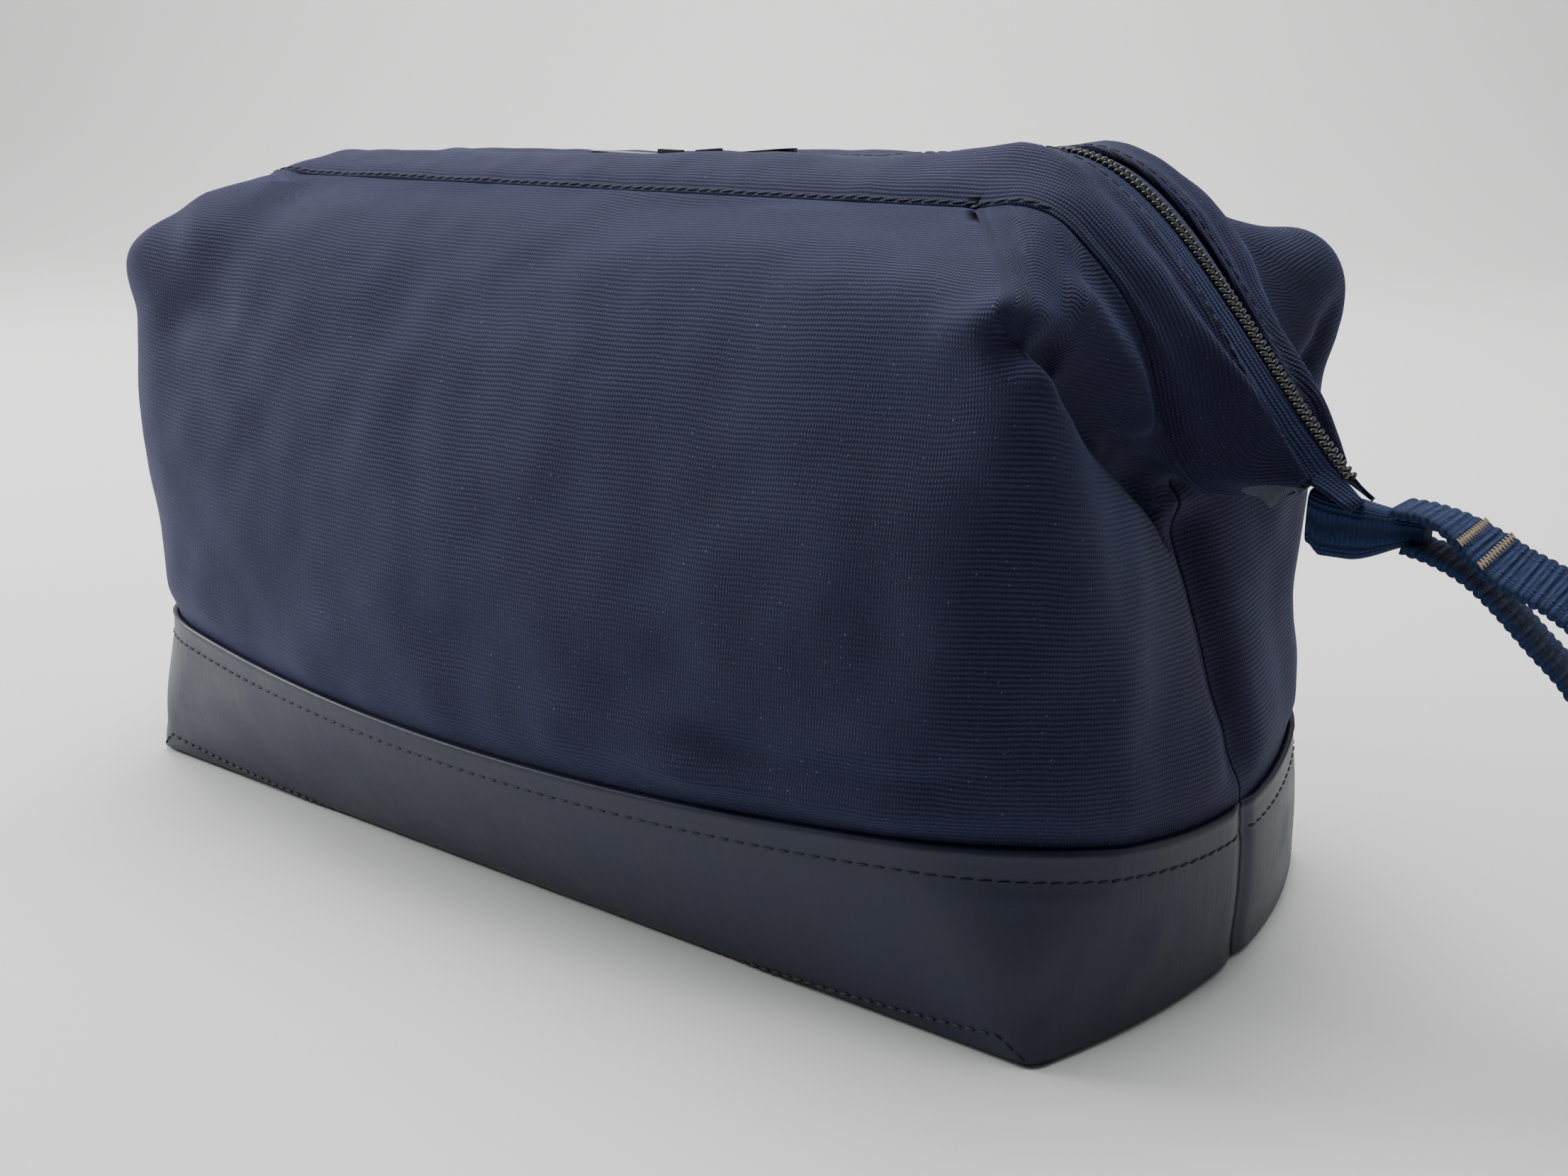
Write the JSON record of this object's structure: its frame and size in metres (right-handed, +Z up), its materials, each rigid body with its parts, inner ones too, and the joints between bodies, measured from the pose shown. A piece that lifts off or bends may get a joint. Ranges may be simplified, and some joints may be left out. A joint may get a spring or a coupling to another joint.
{
  "type": "shaving kit bag",
  "caption": "Wire-frame canvas wash bag on a leather base: mouth opens in two hinged halves along a zip, with sliders, pullers and a wrist loop.",
  "frame": {"origin": "middle of the flat underside that the bag stands on", "axes": "+X along the bag to the end with the wrist loop, -Y the front, +Z up"},
  "size_m": [0.4096, 0.1598, 0.1609],
  "materials": {
    "canvas": "ribbed navy canvas with a light coating",
    "leather": "smooth navy faux leather, semi-matt",
    "lining": "plain woven polyester lining",
    "board": "stiffening board",
    "zip_tape": "blue woven tape",
    "coil": "glossy near-black nylon",
    "wire": "spring wire",
    "zinc": "dark enamelled zinc",
    "webbing": "blue ribbed webbing",
    "thread": "tan thread"
  },
  "bodies": {
    "bag_body": {"base_leather_front": "leather", "base_leather_back": "leather", "base_bottom_panel": "leather", "base_board": "board", "canvas_front_panel": "canvas", "canvas_back_panel": "canvas", "end_seam_tape_right": "lining", "end_seam_tape_left": "lining", "lining_tub": "lining", "zip_end_tab_left": "zip_tape", "zip_end_tab_right": "zip_tape", "strap_anchor": "webbing", "bar_tack_inner": "thread", "bar_tack_outer": "thread"},
    "mouth_front": {"hem_channel_front": "canvas", "frame_wire_front": "wire", "zip_tape_front": "zip_tape", "zip_coil_front": "coil", "lining_flap_front": "lining"},
    "mouth_back": {"hem_channel_back": "canvas", "frame_wire_back": "wire", "zip_tape_back": "zip_tape", "zip_coil_back": "coil", "lining_flap_back": "lining"},
    "left_slider": {"slider_left": "zinc"},
    "right_slider": {"slider_right": "zinc"},
    "left_puller": {"puller_left": "zinc"},
    "right_puller": {"puller_right": "zinc"},
    "loop": {"wrist_loop": "webbing"}
  },
  "joints": [
    {"name": "mouth_front_hinge", "type": "hinge", "parent": "bag_body", "child": "mouth_front", "pos_m": [0, 0, 0.0955], "axis": [1, 0, 0], "range_deg": [0, 40], "deforming": ["canvas_front_panel"]},
    {"name": "mouth_back_hinge", "type": "hinge", "parent": "bag_body", "child": "mouth_back", "pos_m": [0, 0, 0.0955], "axis": [-1, 0, 0], "range_deg": [0, 40], "deforming": ["canvas_back_panel"]},
    {"name": "slider_left_slide", "type": "slide", "parent": "mouth_back", "child": "left_slider", "axis": [-0.9998, 0, 0.021], "range_m": [0, 0.082]},
    {"name": "slider_right_slide", "type": "slide", "parent": "mouth_back", "child": "right_slider", "axis": [0.9966, 0, 0.0818], "range_m": [0, 0.082]},
    {"name": "puller_left_swing", "type": "hinge", "parent": "left_slider", "child": "left_puller", "pos_m": [-0.00583, 0, 0.15547], "axis": [0, 1, 0], "range_deg": [0, 100]},
    {"name": "puller_right_swing", "type": "hinge", "parent": "right_slider", "child": "right_puller", "pos_m": [0.00561, 0, 0.15582], "axis": [0, -1, 0], "range_deg": [0, 100]},
    {"name": "wrist_loop_swing", "type": "hinge", "parent": "bag_body", "child": "loop", "pos_m": [0.1854, 0, 0.09352], "axis": [0, 1, 0], "range_deg": [-95, 20]}
  ]
}
